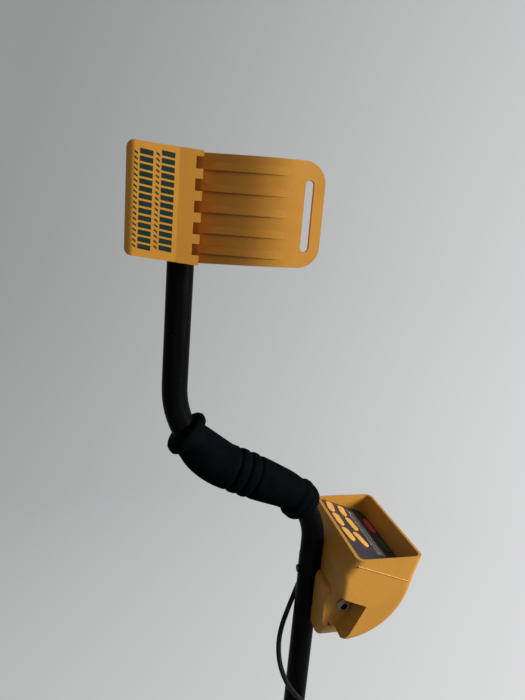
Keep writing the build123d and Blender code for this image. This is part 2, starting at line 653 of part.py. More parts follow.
def strap_outline(extra):
    """The line round the sliding shaft and the cable together, some way outside both."""
    cable_at = LOWER_ROUTE[0][:2]
    circles = [Circle(LOW_R + extra), Pos(*cable_at) * Circle(CABLE_R + extra)]
    return make_hull([e for c in circles for e in c.edges()])


def cable_strap():
    """The band that ties the cable to the sliding shaft."""
    band = strap_outline(1.4) - strap_outline(0.1)
    return Pos(0, 0, STRAP_Z - STRAP_TALL / 2) * extrude(band, amount=STRAP_TALL)


# ================= search coil =================
def coil_top_shell():
    """A moulded disc with a hollow rim for the windings and two ears for the pivot."""
    profile = make_face(Polyline(
        (0, SOLE_THICK), (82, SOLE_THICK), (82, COIL_TOP - 4), (104, COIL_TOP - 4), (104, SOLE_THICK),
        (COIL_R, SOLE_THICK), (COIL_R, COIL_TOP), (76, COIL_TOP), (70, WEB_TOP), (HUB_R + 6, WEB_TOP),
        (HUB_R, HUB_TOP), (0, HUB_TOP), close=True))
    top = [v for v in profile.vertices() if v.Y > COIL_TOP - 0.1]
    profile = fillet(top, 3.6)
    disc = revolve(Plane.XZ * profile, axis=Axis.Z)
    for side in (-1, 1):
        near, far = sorted((side * EAR_IN, side * EAR_OUT))
        disc += block(-11, 11, near, far, HUB_TOP - 1, PIVOT_Z)
        disc += rod(11, (0, near, PIVOT_Z), (0, far, PIVOT_Z))
    return disc - rod(PIVOT_R + 0.03, (0, -20, PIVOT_Z), (0, 20, PIVOT_Z))


def coil_bottom_shell():
    sole = Pos(0, 0, SOLE_THICK / 2) * Cylinder(COIL_R, SOLE_THICK)
    return fillet(sole.edges().group_by(Axis.Z)[0], 1.2)


def winding(outer, inner):
    return ring(outer, inner, SOLE_THICK + 0.1, SOLE_THICK + 9.0)


def cable_gland():
    base = Pos(GLAND_X, 0, WEB_TOP + 2.5) * Cylinder(8.0, 5)
    cone = Pos(GLAND_X, 0, (WEB_TOP + 5 + GLAND_TOP) / 2) * Cone(6.0, 3.4, GLAND_TOP - WEB_TOP - 5)
    return base + cone


def pivot_bolt():
    head = hex_nut(6.5, 0.01, (0, -19.6, PIVOT_Z), (0, -EAR_OUT - 0.1, PIVOT_Z))
    return head + rod(PIVOT_R, (0, -EAR_OUT - 0.1, PIVOT_Z), (0, 29, PIVOT_Z))


def wing_nut():
    start = EAR_OUT + 0.3
    hub = rod(7.0, (0, start, PIVOT_Z), (0, start + 9, PIVOT_Z))
    for side in (-1, 1):
        wing = block(3, 15, start + 1, start + 9, PIVOT_Z - 2, PIVOT_Z + 2)
        wing += rod(4.0, (15, start + 5, PIVOT_Z - 2), (15, start + 5, PIVOT_Z + 2))
        hub += wing if side > 0 else mirror(wing, about=Plane.YZ)
    return hub - rod(PIVOT_R + 0.05, (0, start - 1, PIVOT_Z), (0, start + 10, PIVOT_Z))


# ================= every sub-part, one file each =================
def all_nodes():
    skin = shell()
    nodes = {
        "s_stem": s_stem(), "stem_end_cap": stem_end_cap(), "foam_grip": foam_grip(),
        "middle_stem": middle_stem(), "stem_bushing": stem_bushing(), "lock_button": lock_button(),
        "lock_spring": lock_spring(), "twist_collar": twist_collar(), "lock_collet": lock_collet(),
        "lower_stem": lower_stem(), "stem_tongue": stem_tongue(), "rubber_washers": rubber_washers(),
        "cuff_saddle": cuff_saddle(), "cuff_cradle": cuff_cradle(), "cuff_bolts": cuff_bolts(),
        "cuff_nuts": cuff_nuts(), "box_body": box_body(skin), "box_hood": box_hood(skin),
        "control_panel": control_panel(), "lcd_window": lcd_window(), "lcd_module": lcd_module(),
        "main_board": main_board(), "board_screws": board_screws(), "speaker": speaker(),
        "battery_holder": battery_holder(), "aa_cells": aa_cells(), "battery_door": battery_door(),
        "headphone_jack": headphone_jack(), "jack_nut": jack_nut(), "coil_socket": coil_socket(),
        "plug_ring": plug_ring(), "cable_plug": cable_plug(), "plug_boot": plug_boot(),
        "box_bracket": box_bracket(), "bracket_bolts": bracket_bolts(), "bracket_nuts": bracket_nuts(),
        "cable_strap": cable_strap(),
        "coil_cable_upper": cable(UPPER_ROUTE, "coil_cable_upper"),
        "coil_cable_lower": cable(LOWER_ROUTE, "coil_cable_lower"),
        "coil_top_shell": coil_top_shell(), "coil_bottom_shell": coil_bottom_shell(),
        "transmit_winding": winding(103.5, 95.0), "receive_winding": winding(92.0, 82.5),
        "cable_gland": cable_gland(), "pivot_bolt": pivot_bolt(), "wing_nut": wing_nut(),
    }
    for key in KEYS:
        nodes[key] = key_solid(key)
    return nodes


os.makedirs("parts", exist_ok=True)
for node, shape in all_nodes().items():
    solids = shape if isinstance(shape, list) else shape.solids()
    export_step(Compound(children=[s.solid() for s in solids]) if len(solids) > 1 else solids[0],
                f"parts/{node}.step")
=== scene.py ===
import json
import math

import bmesh
import bpy
from mathutils import Matrix, Vector


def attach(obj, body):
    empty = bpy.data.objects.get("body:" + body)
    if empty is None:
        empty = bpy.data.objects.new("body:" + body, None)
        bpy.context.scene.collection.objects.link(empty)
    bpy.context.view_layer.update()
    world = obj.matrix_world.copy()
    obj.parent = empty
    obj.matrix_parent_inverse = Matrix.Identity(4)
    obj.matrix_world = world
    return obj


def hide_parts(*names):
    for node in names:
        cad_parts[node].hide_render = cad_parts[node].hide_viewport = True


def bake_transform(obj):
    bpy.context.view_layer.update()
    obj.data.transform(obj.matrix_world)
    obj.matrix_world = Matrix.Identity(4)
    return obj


# Looks of an upright metal detector. Metres, in the CAD model's frame: +Z up the shaft, +X the box's side.

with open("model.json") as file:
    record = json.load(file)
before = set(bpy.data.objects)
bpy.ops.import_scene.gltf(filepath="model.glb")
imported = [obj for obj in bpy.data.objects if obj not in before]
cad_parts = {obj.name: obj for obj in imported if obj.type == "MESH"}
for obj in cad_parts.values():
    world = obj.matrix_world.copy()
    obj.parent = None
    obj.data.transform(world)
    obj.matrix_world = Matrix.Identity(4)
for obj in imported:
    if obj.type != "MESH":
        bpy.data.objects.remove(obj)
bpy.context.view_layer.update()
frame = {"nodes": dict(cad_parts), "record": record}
NODES = frame["nodes"]
SCENE = bpy.context.scene
SCENE.view_settings.view_transform = "Standard"

# ---- sizes of the CAD model that the meshes below follow ----
UPPER_X = -0.142
BEND_TOP_Z = 0.9111
GRIP_SLOPE = math.radians(23)
UPPER_BEND_R, LOWER_BEND_R = 0.083, 0.065
GRIP_START_TURN, GRIP_END_TURN = math.radians(24), math.radians(31.5)
PANEL_TILT = math.radians(20.2)
FOOT_X, CREASE_X = -0.186, -0.150
FOOT_HALF, CREASE_HALF = 0.0515, 0.0555
BOX_HALF, BOX_FRONT = 0.0595, 0.080

# ---- the cable's route ----
# The turns above the collar are the CAD model's. The last turn is wound up to 5 mm wider than the CAD's,
# so that it clears the twist collar when the lower shaft slides up.
CABLE_D = 0.005
UPPER_ROUTE = [
    (0.003, 0.021, 0.776), (0.003, 0.021, 0.760), (-0.012, 0.009, 0.734), (-0.027, -0.006, 0.709),
    (-0.027, -0.014, 0.682), (-0.016, -0.020, 0.656), (0.005, -0.020, 0.631), (0.019, -0.008, 0.602),
    (0.019, 0.012, 0.566), (0.002, 0.022, 0.528), (-0.017, 0.013, 0.487), (-0.019, -0.009, 0.444),
    (-0.003, -0.020, 0.402), (0.016, -0.013, 0.362), (0.020, 0.009, 0.322), (0.0055, 0.0208, 0.282),
    (-0.0146, 0.0166, 0.243), (-0.0222, 0.001, 0.208), (-0.0186, -0.004, 0.172), (-0.0106, 0, 0.142),
    (-0.0106, 0, 0.118),
]
LOWER_ROUTE = [
    (-0.0106, 0, 0.118), (-0.0106, 0, 0.098), (-0.019, 0.006, 0.077), (-0.035, 0.007, 0.062),
    (-0.046, 0, 0.046), (-0.046, 0, 0.026),
]


# ================= camera and cables =================
CAMERA_PLACE = (-0.1766, -0.440, 1.100)
CAMERA_LENS, SENSOR_WIDTH = 27.1, 36


def make_camera():
    """A camera held in front of the grip: turned 14 degrees, looking 12.5 down, rolled 4.8."""
    turn, down, roll = math.radians(14), math.radians(12.5), math.radians(4.8)
    level_right = Vector((math.cos(turn), -math.sin(turn), 0))
    ahead = Vector((math.sin(turn), math.cos(turn), 0))
    forward = ahead * math.cos(down) - Vector((0, 0, math.sin(down)))
    level_down = -ahead * math.sin(down) - Vector((0, 0, math.cos(down)))
    right = level_right * math.cos(roll) - level_down * math.sin(roll)
    up = -(level_right * math.sin(roll) + level_down * math.cos(roll))
    camera = bpy.data.objects.new("camera", bpy.data.cameras.new("camera"))
    camera.data.sensor_width = SENSOR_WIDTH
    camera.data.lens = CAMERA_LENS
    camera.data.clip_start = 0.02
    turned = Matrix((right, up, -forward)).transposed().to_4x4()
    camera.matrix_world = Matrix.Translation(CAMERA_PLACE) @ turned
    SCENE.collection.objects.link(camera)
    SCENE.camera = camera


def spline_curve(name, route, bevel):
    """A smooth curve with the route's points as its control points."""
    curve = bpy.data.curves.new(name, "CURVE")
    curve.dimensions = "3D"
    curve.resolution_u = 14
    curve.bevel_depth = bevel
    curve.bevel_resolution = 6
    curve.use_fill_caps = bevel > 0
    spline = curve.splines.new("NURBS")
    spline.points.add(len(route) - 1)
    for point, place in zip(spline.points, route):
        point.co = (*place, 1)
    spline.order_u = 3
    spline.use_endpoint_u = True
    return curve


def mesh_of_curve(name, curve):
    """The mesh that a curve makes."""
    holder = bpy.data.objects.new(name + "_curve", curve)
    SCENE.collection.objects.link(holder)
    bpy.context.view_layer.update()
    evaluated = holder.evaluated_get(bpy.context.evaluated_depsgraph_get())
    mesh = bpy.data.meshes.new_from_object(evaluated)
    bpy.data.objects.remove(holder)
    return mesh


def shade_smooth(mesh, smooth=True):
    for face in mesh.polygons:
        face.use_smooth = smooth


def make_cable(name, route, node):
    """A cable between two bodies, as a tube round the route's spline."""
    line = mesh_of_curve(name, spline_curve(name, route, 0))
    cable = bpy.data.objects.new(name, mesh_of_curve(name, spline_curve(name, route, CABLE_D / 2)))
    SCENE.collection.objects.link(cable)
    shade_smooth(cable.data)
    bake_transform(cable)
    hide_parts(node)
    return cable


make_camera()
upper_cable = make_cable("cable_round_shaft", UPPER_ROUTE, "coil_cable_upper")
lower_cable = make_cable("cable_to_coil", LOWER_ROUTE, "coil_cable_lower")


# ================= materials =================
class Shader:
    """A node material built from a few chained calls."""

    def __init__(self, name, color, roughness, metallic=0.0):
        self.material = bpy.data.materials.new(name)
        self.material.use_nodes = True
        self.tree = self.material.node_tree
        self.shader = self.tree.nodes["Principled BSDF"]
        self.shader.inputs["Metallic"].default_value = metallic
        self.shader.inputs["Roughness"].default_value = roughness
        self.place = self.tree.nodes.new("ShaderNodeTexCoord").outputs["Object"]
        self.color = self.rgb(color)
        self.normal = None

    def node(self, kind, **inputs):
        made = self.tree.nodes.new(kind)
        for name, value in inputs.items():
            self.feed(made.inputs[name.replace("_", " ")], value)
        return made

    def feed(self, socket, value):
        """Links another node's output to the socket, or sets the socket to a plain value."""
        if isinstance(value, bpy.types.NodeSocket):
            self.tree.links.new(value, socket)
        else:
            socket.default_value = value

    def rgb(self, color):
        made = self.tree.nodes.new("ShaderNodeRGB")
        made.outputs[0].default_value = (*color, 1)
        return made.outputs[0]

    def noise(self, scale, detail=4.0, stretch=(1, 1, 1), rough=0.55):
        mapped = self.node("ShaderNodeMapping", Vector=self.place, Scale=stretch)
        return self.node("ShaderNodeTexNoise", Vector=mapped.outputs[0], Scale=scale, Detail=detail,
                         Roughness=rough).outputs["Fac"]

    def remap(self, value, low, high, to_low=0.0, to_high=1.0):
        """Eases from one level to another as the value goes from low to high."""
        made = self.tree.nodes.new("ShaderNodeMapRange")
        made.interpolation_type = "SMOOTHSTEP"
        ends = {"From Min": low, "From Max": high, "To Min": to_low, "To Max": to_high}
        for name, number in ends.items():
            made.inputs[name].default_value = number
        self.tree.links.new(value, made.inputs["Value"])
        return made.outputs[0]

    def work_out(self, kind, first, second):
        made = self.tree.nodes.new("ShaderNodeMath")
        made.operation = kind
        self.feed(made.inputs[0], first)
        self.feed(made.inputs[1], second)
        return made.outputs[0]

    def times(self, first, second):
        return self.work_out("MULTIPLY", first, second)

    def axis(self, letter):
        return self.node("ShaderNodeSeparateXYZ", Vector=self.place).outputs[letter]

    def tint(self, mask, color):
        """Mixes a colour in where the mask is 1."""
        made = self.tree.nodes.new("ShaderNodeMix")
        made.data_type = "RGBA"
        self.feed(made.inputs["Factor"], mask)
        self.feed(made.inputs["A"], self.color)
        self.feed(made.inputs["B"], (*color, 1) if isinstance(color, tuple) else color)
        self.color = made.outputs["Result"]
        return self

    def vary(self, scale, color, amount, detail=4.0, stretch=(1, 1, 1)):
        """Uneven colour: noise mixes another colour in, by up to the amount."""
        patches = self.remap(self.noise(scale, detail, stretch), 0.35, 0.7, 0.0, amount)
        return self.tint(patches, color)

    def rough(self, scale, low, high, stretch=(1, 1, 1)):
        """Uneven roughness between two levels."""
        spread = self.remap(self.noise(scale, 5.0, stretch), 0.3, 0.7, low, high)
        self.feed(self.shader.inputs["Roughness"], spread)
        return self

    def bump(self, height, strength, distance):
        made = self.node("ShaderNodeBump", Height=height, Strength=strength, Distance=distance)
        if self.normal:
            self.tree.links.new(self.normal, made.inputs["Normal"])
        self.normal = made.outputs[0]
        return self

    def grain(self, scale, strength, distance, stretch=(1, 1, 1)):
        return self.bump(self.noise(scale, 3.0, stretch), strength, distance)

    def set(self, **sockets):
        for name, value in sockets.items():
            self.shader.inputs[name.replace("_", " ")].default_value = value
        return self

    def done(self):
        self.feed(self.shader.inputs["Base Color"], self.color)
        if self.normal:
            self.feed(self.shader.inputs["Normal"], self.normal)
        return self.material


def yellow_plastic(name, color, deep, low_rough=0.34, high_rough=0.52):
    """Moulded yellow plastic: slightly uneven colour, fine spark grain, duller patches and brown specks."""
    made = Shader(name, color, 0.42)
    made.vary(28, deep, 0.35).vary(420, deep, 0.22, detail=2.0)
    specks = made.remap(made.noise(900, 2.0), 0.71, 0.76)
    made.tint(made.times(specks, 0.5), (0.25, 0.14, 0.05))
    made.rough(60, low_rough, high_rough)
    made.grain(1500, 0.16, 0.0002).grain(55, 0.05, 0.002)
    return made.set(Specular_IOR_Level=0.42)


def black_plastic(name, color=(0.016, 0.017, 0.019), roughness=0.5, grain=1200):
    """Moulded black plastic with a fine grain."""
    made = Shader(name, color, roughness)
    made.vary(70, (0.03, 0.031, 0.034), 0.6)
    made.rough(90, roughness - 0.08, roughness + 0.12)
    return made.grain(grain, 0.25, 0.0002)


def black_tube():
    """Black lacquered tube: satin, with long faint rub marks and a few bright scratches round it."""
    made = Shader("black_tube", (0.0012, 0.0013, 0.0015), 0.3)
    made.vary(40, (0.003, 0.0032, 0.0036), 0.7, stretch=(1, 1, 0.25))
    scratches = made.remap(made.noise(260, 2.0, (1, 1, 6.0)), 0.73, 0.77)
    made.tint(made.times(scratches, 0.5), (0.10, 0.10, 0.10))
    made.rough(120, 0.24, 0.42, (1, 1, 0.3))
    made.grain(900, 0.08, 0.0001).grain(30, 0.04, 0.002, (1, 1, 0.2))
    return made.set(Specular_IOR_Level=0.06).done()


def grip_foam():
    """Closed-cell foam: matt near-black with a faint blue cast and fine open pores."""
    made = Shader("grip_foam", (0.0007, 0.0014, 0.0024), 0.85)
    made.vary(60, (0.0016, 0.0027, 0.0040), 0.8)
    pores = made.tree.nodes.new("ShaderNodeTexVoronoi")
    made.feed(pores.inputs["Vector"], made.place)
    pores.inputs["Scale"].default_value = 1100
    made.bump(pores.outputs["Distance"], 0.35, 0.0004)
    made.grain(160, 0.18, 0.0010)
    made.rough(90, 0.78, 0.94)
    return made.set(Specular_IOR_Level=0.03).done()


def metal(name, color, roughness, stretch=(1, 1, 1)):
    made = Shader(name, color, roughness, 1.0)
    made.vary(300, tuple(c * 0.7 for c in color), 0.5, stretch=stretch)
    made.rough(400, roughness - 0.08, roughness + 0.12, stretch)
    return made.grain(1400, 0.12, 0.0001, stretch).done()


def soft_rubber(name, color):
    made = Shader(name, color, 0.6)
    made.vary(90, tuple(min(1.0, c * 1.25 + 0.004) for c in color), 0.5)
    made.rough(140, 0.5, 0.7)
    return made.grain(1300, 0.2, 0.0002).set(Specular_IOR_Level=0.4).done()


def webbing():
    """Woven black strap: ridges across it and a little fuzz."""
    made = Shader("black_webbing", (0.012, 0.012, 0.013), 0.9)
    weave = made.tree.nodes.new("ShaderNodeTexWave")
    weave.bands_direction = "Z"
    made.feed(weave.inputs["Vector"], made.place)
    weave.inputs["Scale"].default_value = 420
    weave.inputs["Distortion"].default_value = 1.5
    made.bump(weave.outputs["Fac"], 0.5, 0.0004).vary(500, (0.03, 0.03, 0.032), 0.7)
    return made.set(Sheen_Weight=0.2).done()


def cable_jacket():
    made = Shader("cable_jacket", (0.0035, 0.0036, 0.0040), 0.38)
    made.vary(80, (0.008, 0.008, 0.009), 0.7)
    made.rough(150, 0.3, 0.5)
    return made.grain(700, 0.12, 0.0002).set(Specular_IOR_Level=0.25).done()


def circuit_board():
    """Green board with paler tracks."""
    made = Shader("circuit_board", (0.01, 0.09, 0.035), 0.35)
    tracks = made.tree.nodes.new("ShaderNodeTexBrick")
    made.feed(tracks.inputs["Vector"], made.place)
    tracks.inputs["Scale"].default_value = 260
    tracks.inputs["Mortar Size"].default_value = 0.03
    made.tint(made.times(tracks.outputs["Fac"], 0.6), (0.05, 0.20, 0.08))
    return made.grain(900, 0.1, 0.0001).done()


def dark_panel():
    """The panel behind the keys: near-black with uneven plum patches."""
    made = Shader("dark_panel", (0.022, 0.022, 0.026), 0.4)
    made.vary(60, (0.045, 0.026, 0.045), 0.8)
    made.rough(200, 0.34, 0.5)
    return made.grain(1100, 0.12, 0.0001).done()


def lcd_grey():
    """An unlit liquid-crystal display: warm grey, with a row of dark cells along it."""
    cells_per_metre, kept_positive = 160.0, 20.0
    made = Shader("lcd_grey", (0.26, 0.25, 0.235), 0.5)
    along = made.work_out("ADD", made.times(made.axis("Y"), cells_per_metre), kept_positive)
    cell = made.remap(made.work_out("MODULO", along, 1.0), 0.78, 0.84)
    made.tint(made.times(cell, 0.45), (0.07, 0.06, 0.07))
    return made.vary(50, (0.32, 0.32, 0.26), 0.5).grain(500, 0.05, 0.0001).done()


def clear_window():
    made = Shader("clear_window", (0.85, 0.86, 0.86), 0.12)
    made.rough(300, 0.08, 0.2)
    return made.set(Transmission_Weight=0.92, IOR=1.49).grain(600, 0.03, 0.0001).done()


def cell_can():
    """The printed jacket of a cell: dark, with a lighter band."""
    band_start, band_full = 0.030, 0.031
    made = Shader("cell_can", (0.03, 0.03, 0.035), 0.3, 0.4)
    band = made.remap(made.axis("Y"), band_start, band_full)
    made.tint(band, (0.45, 0.20, 0.06)).vary(200, (0.06, 0.05, 0.05), 0.4)
    return made.grain(900, 0.05, 0.0001).done()


def winding_resin():
    """Copper wire under resin: fine lines round the ring."""
    made = Shader("potted_winding", (0.22, 0.07, 0.02), 0.4)
    made.vary(300, (0.35, 0.14, 0.05), 0.7, stretch=(1, 1, 8))
    return made.grain(700, 0.2, 0.0004, (1, 1, 6)).done()


def saddle_plastic():
    """The stand's yellow: brightest on its flat sides, with painted shade on the narrow part behind the
    lip, which turns away from the light.
    """
    made = yellow_plastic("saddle_yellow", (0.72, 0.33, 0.038), (0.62, 0.26, 0.026))
    flat_ends, waist_starts = -0.1515, -0.1490
    waist_shade = made.remap(made.axis("X"), flat_ends, waist_starts)
    # painted shade: the narrow part behind the lip is darkened where it turns away from the light
    return made.tint(made.times(waist_shade, 0.25), (0.50, 0.20, 0.018)).done()


def cradle_plastic():
    """The cup's yellow, with painted shade that deepens towards its base and is darkest in the hollow
    behind the stand's lip.
    """
    plain_until, shade_from = -0.066, -0.124
    lip_front, lip_back = -0.1315, -0.1350
    made = yellow_plastic("cradle_yellow", (0.66, 0.30, 0.036), (0.56, 0.24, 0.026))
    # painted shade: deepens towards the cup's base, where its curved surface turns away from the light
    root_shade = made.remap(made.axis("X"), plain_until, shade_from)
    made.tint(made.times(root_shade, 0.9), (0.26, 0.100, 0.004))
    # painted shade: the hollow just behind the stand's lip is made darkest
    lip_hollow_shade = made.remap(made.axis("X"), lip_front, lip_back)
    return made.tint(made.times(lip_hollow_shade, 0.85), (0.11, 0.042, 0.003)).done()


MATERIALS = {
    "black_tube": black_tube(),
    "black_plastic": black_plastic("black_plastic").done(),
    "grip_foam": grip_foam(),
    "bright_metal": metal("bright_metal", (0.55, 0.55, 0.56), 0.3),
    "black_screw": metal("black_screw", (0.03, 0.03, 0.032), 0.4),
    "fibreglass": black_plastic("fibreglass", (0.012, 0.0125, 0.0135), 0.42, 800).done(),
    "soft_rubber": soft_rubber("soft_rubber", (0.010, 0.010, 0.011)),
    "yellow_plastic": yellow_plastic("yellow_plastic", (0.60, 0.28, 0.036), (0.50, 0.22, 0.026)).done(),
    "dark_panel": dark_panel(),
    "clear_window": clear_window(),
    "lcd_grey": lcd_grey(),
    "circuit_board": circuit_board(),
    "cell_can": cell_can(),
    "yellow_pad": soft_rubber("yellow_pad", (0.66, 0.33, 0.066)),
    "red_pad": soft_rubber("red_pad", (0.62, 0.060, 0.066)),
    "green_pad": soft_rubber("green_pad", (0.030, 0.065, 0.052)),
    "cable_jacket": cable_jacket(),
    "black_webbing": webbing(),
    "coil_plastic": black_plastic("coil_plastic", (0.013, 0.0135, 0.015), 0.55, 700).done(),
    "potted_winding": winding_resin(),
}
SADDLE = saddle_plastic()
CRADLE = cradle_plastic()
DECAL_INK = soft_rubber("decal_ink", (0.004, 0.028, 0.020))


def dress(obj, material):
    obj.data.materials.clear()
    obj.data.materials.append(material)


# width of the rounding on each CAD node's edges
SOFTENED = {
    "cuff_saddle": 0.0009, "cuff_cradle": 0.0008, "box_body": 0.0007, "box_hood": 0.0008,
    "box_bracket": 0.0006, "battery_door": 0.0005, "coil_top_shell": 0.0008, "stem_end_cap": 0.0006,
    "stem_bushing": 0.0005, "wing_nut": 0.0008, "pivot_bolt": 0.0006, "jack_nut": 0.0003,
    "bracket_bolts": 0.0004, "cuff_bolts": 0.0004, "cuff_nuts": 0.0003, "cable_gland": 0.0006,
    "coil_socket": 0.0004, "headphone_jack": 0.0003, "control_panel": 0.0003, "stem_tongue": 0.0006,
    "s_stem": 0.0003, "middle_stem": 0.0003, "lower_stem": 0.0003, "plug_ring": 0.0002,
    "twist_collar": 0.0002, "cable_plug": 0.0003,
}
WELD_GAP = 0.00001
FLAT_WITHIN = math.radians(0.3)
EDGE_ABOVE = math.radians(32)


def soften(obj, width):
    """Rounds a CAD node's sharp edges with modifiers, and leaves its own mesh as it is."""
    weld = obj.modifiers.new("weld", "WELD")
    weld.merge_threshold = WELD_GAP
    flat = obj.modifiers.new("flat", "DECIMATE")
    flat.decimate_type = "DISSOLVE"
    flat.angle_limit = FLAT_WITHIN
    bevel = obj.modifiers.new("bevel", "BEVEL")
    bevel.width = width
    bevel.segments = 3
    bevel.limit_method = "ANGLE"
    bevel.angle_limit = EDGE_ABOVE
    normals = obj.modifiers.new("normals", "WEIGHTED_NORMAL")
    normals.keep_sharp = True


for row in frame["record"]["subparts"]:
    node = NODES[row["node"]]
    dress(node, MATERIALS[row["material_slot"]])
    if row["node"] in SOFTENED:
        soften(node, SOFTENED[row["node"]])
dress(NODES["cuff_saddle"], SADDLE)
dress(NODES["cuff_cradle"], CRADLE)
dress(upper_cable, MATERIALS["cable_jacket"])
dress(lower_cable, MATERIALS["cable_jacket"])


def bend_spring():
    """The button's leaf spring as a mesh copy that takes the CAD node's place."""
    rigid = NODES["lock_spring"]
    spring = bpy.data.objects.new("lock_spring_leaf", rigid.data.copy())
    spring.matrix_world = rigid.matrix_world.copy()
    SCENE.collection.objects.link(spring)
    dress(spring, MATERIALS["bright_metal"])
    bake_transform(spring)
    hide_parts("lock_spring")


bend_spring()


# ================= foam grip =================
def build_object(name, build, material, smooth=True, inside_out=False):
    """Makes an object from a function that fills a bmesh."""
    shape = bmesh.new()
    build(shape)
    bmesh.ops.recalc_face_normals(shape, faces=shape.faces)
    if inside_out:
        bmesh.ops.reverse_faces(shape, faces=shape.faces)
    mesh = bpy.data.meshes.new(name)
    shape.to_mesh(mesh)
    shape.free()
    shade_smooth(mesh, smooth)
    obj = bpy.data.objects.new(name, mesh)
    SCENE.collection.objects.link(obj)
    dress(obj, material)
    return obj


def add_mesh(name, build, body, material, smooth=True):
    """Makes an object and rides it on a body."""
    obj = build_object(name, build, material, smooth)
    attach(obj, body)
    return obj


def join_rings(shape, first, second):
    """Faces between two rings of as many points."""
    for k in range(len(first)):
        n = (k + 1) % len(first)
        shape.faces.new((first[k], first[n], second[n], second[k]))


BEND = math.pi / 2 - GRIP_SLOPE
BEND_LOW_Z = BEND_TOP_Z + UPPER_X * math.tan(GRIP_SLOPE)
UPPER_TRIM = UPPER_BEND_R * math.tan(BEND / 2)
LOWER_TRIM = LOWER_BEND_R * math.tan(BEND / 2)
SLOPE_RUN = abs(UPPER_X) / math.cos(GRIP_SLOPE) - UPPER_TRIM - LOWER_TRIM
UPPER_ARC = UPPER_BEND_R * (BEND - GRIP_START_TURN)
LOWER_ARC = LOWER_BEND_R * GRIP_END_TURN
GRIP_LENGTH = UPPER_ARC + SLOPE_RUN + LOWER_ARC
SLOPE_WAY = Vector((math.cos(GRIP_SLOPE), 0, -math.sin(GRIP_SLOPE)))


def stem_at(s):
    """The shaft's axis and its direction at a distance down the grip."""
    if s < UPPER_ARC:
        turn = GRIP_START_TURN + s / UPPER_BEND_R
        centre = Vector((UPPER_X + UPPER_BEND_R, 0, BEND_TOP_Z + UPPER_TRIM))
        return (centre + UPPER_BEND_R * Vector((-math.cos(turn), 0, -math.sin(turn))),
                Vector((math.sin(turn), 0, -math.cos(turn))))
    start = Vector((UPPER_X, 0, BEND_TOP_Z)) + SLOPE_WAY * UPPER_TRIM
    if s < UPPER_ARC + SLOPE_RUN:
        return start + SLOPE_WAY * (s - UPPER_ARC), SLOPE_WAY
    turn = BEND - (s - UPPER_ARC - SLOPE_RUN) / LOWER_BEND_R
    centre = Vector((-LOWER_BEND_R, 0, BEND_LOW_Z - LOWER_TRIM))
    return (centre + LOWER_BEND_R * Vector((math.cos(turn), 0, math.sin(turn))),
            Vector((math.sin(turn), 0, -math.cos(turn))))


# Distance down the grip and radius, in millimetres.
GRIP_END = 169.0
GRIP_AROUND = 112
GRIP_PROFILE = [
    # top flange
    (0, 11.2), (0.3, 17.0), (1.0, 19.2), (2.6, 20.4), (5.5, 20.7), (9.5, 20.4), (11.8, 19.0),
    (13.4, 17.2),
    # palm
    (15.5, 16.7), (20, 17.0), (28, 18.0), (38, 19.0), (50, 19.9), (62, 20.4),
    # first groove
    (71.5, 20.6), (73.2, 20.2), (74.2, 19.0), (75.0, 18.3), (75.8, 19.0), (76.8, 20.3), (78.6, 20.9),
    (81.0, 21.0),
    # second groove
    (83.4, 20.9), (85.2, 20.3), (86.2, 19.0), (87.0, 18.3), (87.8, 19.0), (88.8, 20.3), (90.6, 20.9),
    (92.8, 21.0),
    # third groove
    (95.0, 20.8), (96.8, 20.1), (97.8, 18.8), (98.6, 18.1), (99.4, 18.8), (100.6, 20.0), (103, 20.3),
    # taper
    (110, 19.9), (120, 19.2), (130, 18.4), (138, 17.8), (145, 17.3),
    # rolled collar and its groove
    (148.4, 17.3), (150.2, 18.4), (152, 19.6), (154.6, 20.1), (156.0, 19.9), (156.9, 19.0),
    (157.7, 18.3), (158.5, 19.0), (159.6, 19.7),
    # lower end
    (162.5, 19.5), (165.5, 18.7), (167.6, 17.3), (169, 15.6), (169, 11.2),
]
ROW_SPACING = 2.0          # the longest step down the grip
COLLAR_SLANT = 0.0105      # metres further down that the foam's top end sits on the outer side of the bend
SLANT_FADES = 45.0         # millimetres down the grip where the slant has gone


def radius_rows():
    """The profile with its spans divided, so that the sweep is smooth."""
    rows = [GRIP_PROFILE[0]]
    for (s0, r0), (s1, r1) in zip(GRIP_PROFILE, GRIP_PROFILE[1:]):
        steps = max(1, math.ceil((s1 - s0) / ROW_SPACING))
        rows += [(s0 + (s1 - s0) * k / steps, r0 + (r1 - r0) * k / steps) for k in range(1, steps + 1)]
    return rows


def sweep_grip(shape):
    """The foam round the bent shaft. Its top end is pushed aslant, further down outside the bend."""
    rings = []
    for s, radius in radius_rows():
        fade = max(0.0, 1 - s / SLANT_FADES)
        ring = []
        for k in range(GRIP_AROUND):
            a = 2 * math.pi * k / GRIP_AROUND
            late = COLLAR_SLANT * fade * fade * (3 - 2 * fade) * (1 - math.cos(a)) / 2
            place, way = stem_at(s / GRIP_END * GRIP_LENGTH + late)
            inner_side = way.cross(Vector((0, 1, 0)))
            step = inner_side * math.cos(a) + Vector((0, 1, 0)) * math.sin(a)
            ring.append(shape.verts.new(place + step * radius / 1000))
        rings.append(ring)
    for first, second in zip(rings, rings[1:] + rings[:1]):
        join_rings(shape, first, second)


grip = add_mesh("grip_sleeve", sweep_grip, "shaft", MATERIALS["grip_foam"])
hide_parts("foam_grip")


# ================= seam between hood and case =================
SEAM_BACK, SEAM_TOP = 0.012, 0.822     # the seam's line: x where it starts and z there
SEAM_FROM_X, SEAM_BEND_X, SEAM_BEND_Y = 0.0225, 0.066, 0.0455
SEAM_R = 0.0005


